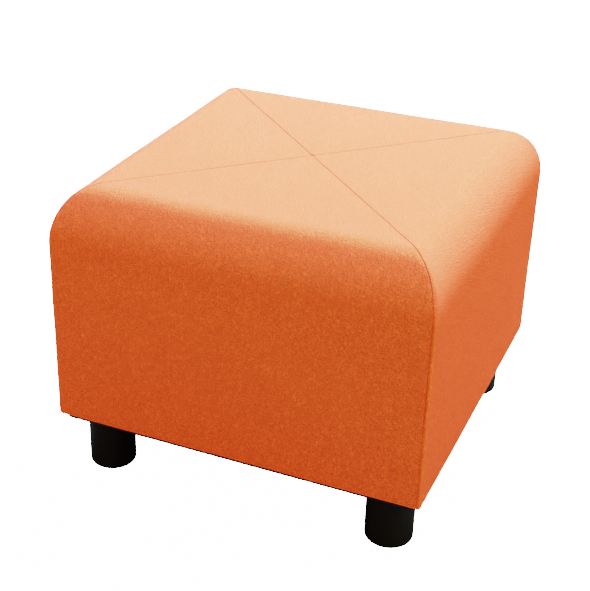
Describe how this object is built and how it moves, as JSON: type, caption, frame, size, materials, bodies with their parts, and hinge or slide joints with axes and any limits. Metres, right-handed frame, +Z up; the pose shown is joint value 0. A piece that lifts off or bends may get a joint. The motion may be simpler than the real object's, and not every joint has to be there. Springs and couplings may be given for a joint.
{
  "type": "cube pouf stool",
  "caption": "Low cube pouf stool in orange wool felt, with a rounded top edge, mitred seams and round black feet.",
  "frame": {"origin": "on the floor, midway between the four feet", "axes": "+Z up along the stool's middle line, the front panel facing -Y and the right panel facing +X"},
  "size_m": [0.5226, 0.5226, 0.4254],
  "materials": {
    "cover_cloth": "fulled wool felt, heathered orange, dull",
    "base_board": "black faced board, dull",
    "feet": "black moulded plastic, satin"
  },
  "bodies": {
    "root": {"panel_front": "cover_cloth", "panel_right": "cover_cloth", "panel_back": "cover_cloth", "panel_left": "cover_cloth", "base_board": "base_board", "foot_front_left": "feet", "foot_front_right": "feet", "foot_back_right": "feet", "foot_back_left": "feet"}
  },
  "joints": []
}
